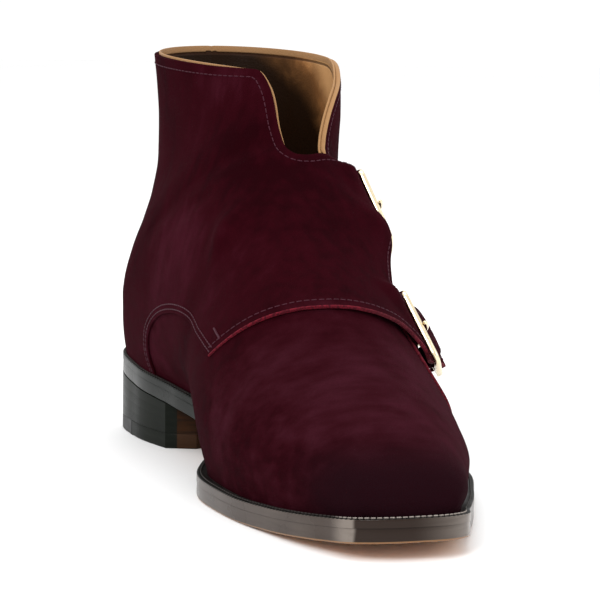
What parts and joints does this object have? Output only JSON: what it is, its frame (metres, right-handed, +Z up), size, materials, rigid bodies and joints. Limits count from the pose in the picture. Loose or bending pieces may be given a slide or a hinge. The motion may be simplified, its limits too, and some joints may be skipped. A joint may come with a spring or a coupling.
{
  "type": "ankle boot",
  "caption": "Low-heeled suede ankle boot with a pointed square toe, closed by a wrap-over flap on buckled straps.",
  "frame": {"origin": "on the floor below the middle of the boot's box", "axes": "-Y towards the toe, +X towards the outer side, where the buckles are, +Z up"},
  "size_m": [0.1066, 0.308, 0.1583],
  "materials": {
    "suede": "napped wine-red calf suede",
    "sole_leather": "natural tan sole leather, slightly polished",
    "edge_leather": "dark dressed and burnished edge",
    "heel_leather": "blackened and polished stacked leather",
    "rubber": "dark grey moulded rubber",
    "lining": "smooth tan lining leather",
    "buckle": "polished pale gold plate"
  },
  "bodies": {
    "root": {"outsole": "sole_leather", "welt": "edge_leather", "heel_stack": "heel_leather", "top_piece_leather": "sole_leather", "top_piece_rubber": "rubber", "insole": "lining", "upper": "suede", "monk_flap": "suede", "lower_buckle_tab": "suede", "upper_buckle_tab": "suede", "lower_buckle_frame": "buckle", "upper_buckle_frame": "buckle", "lower_buckle_prong": "buckle", "upper_buckle_prong": "buckle"}
  },
  "joints": []
}
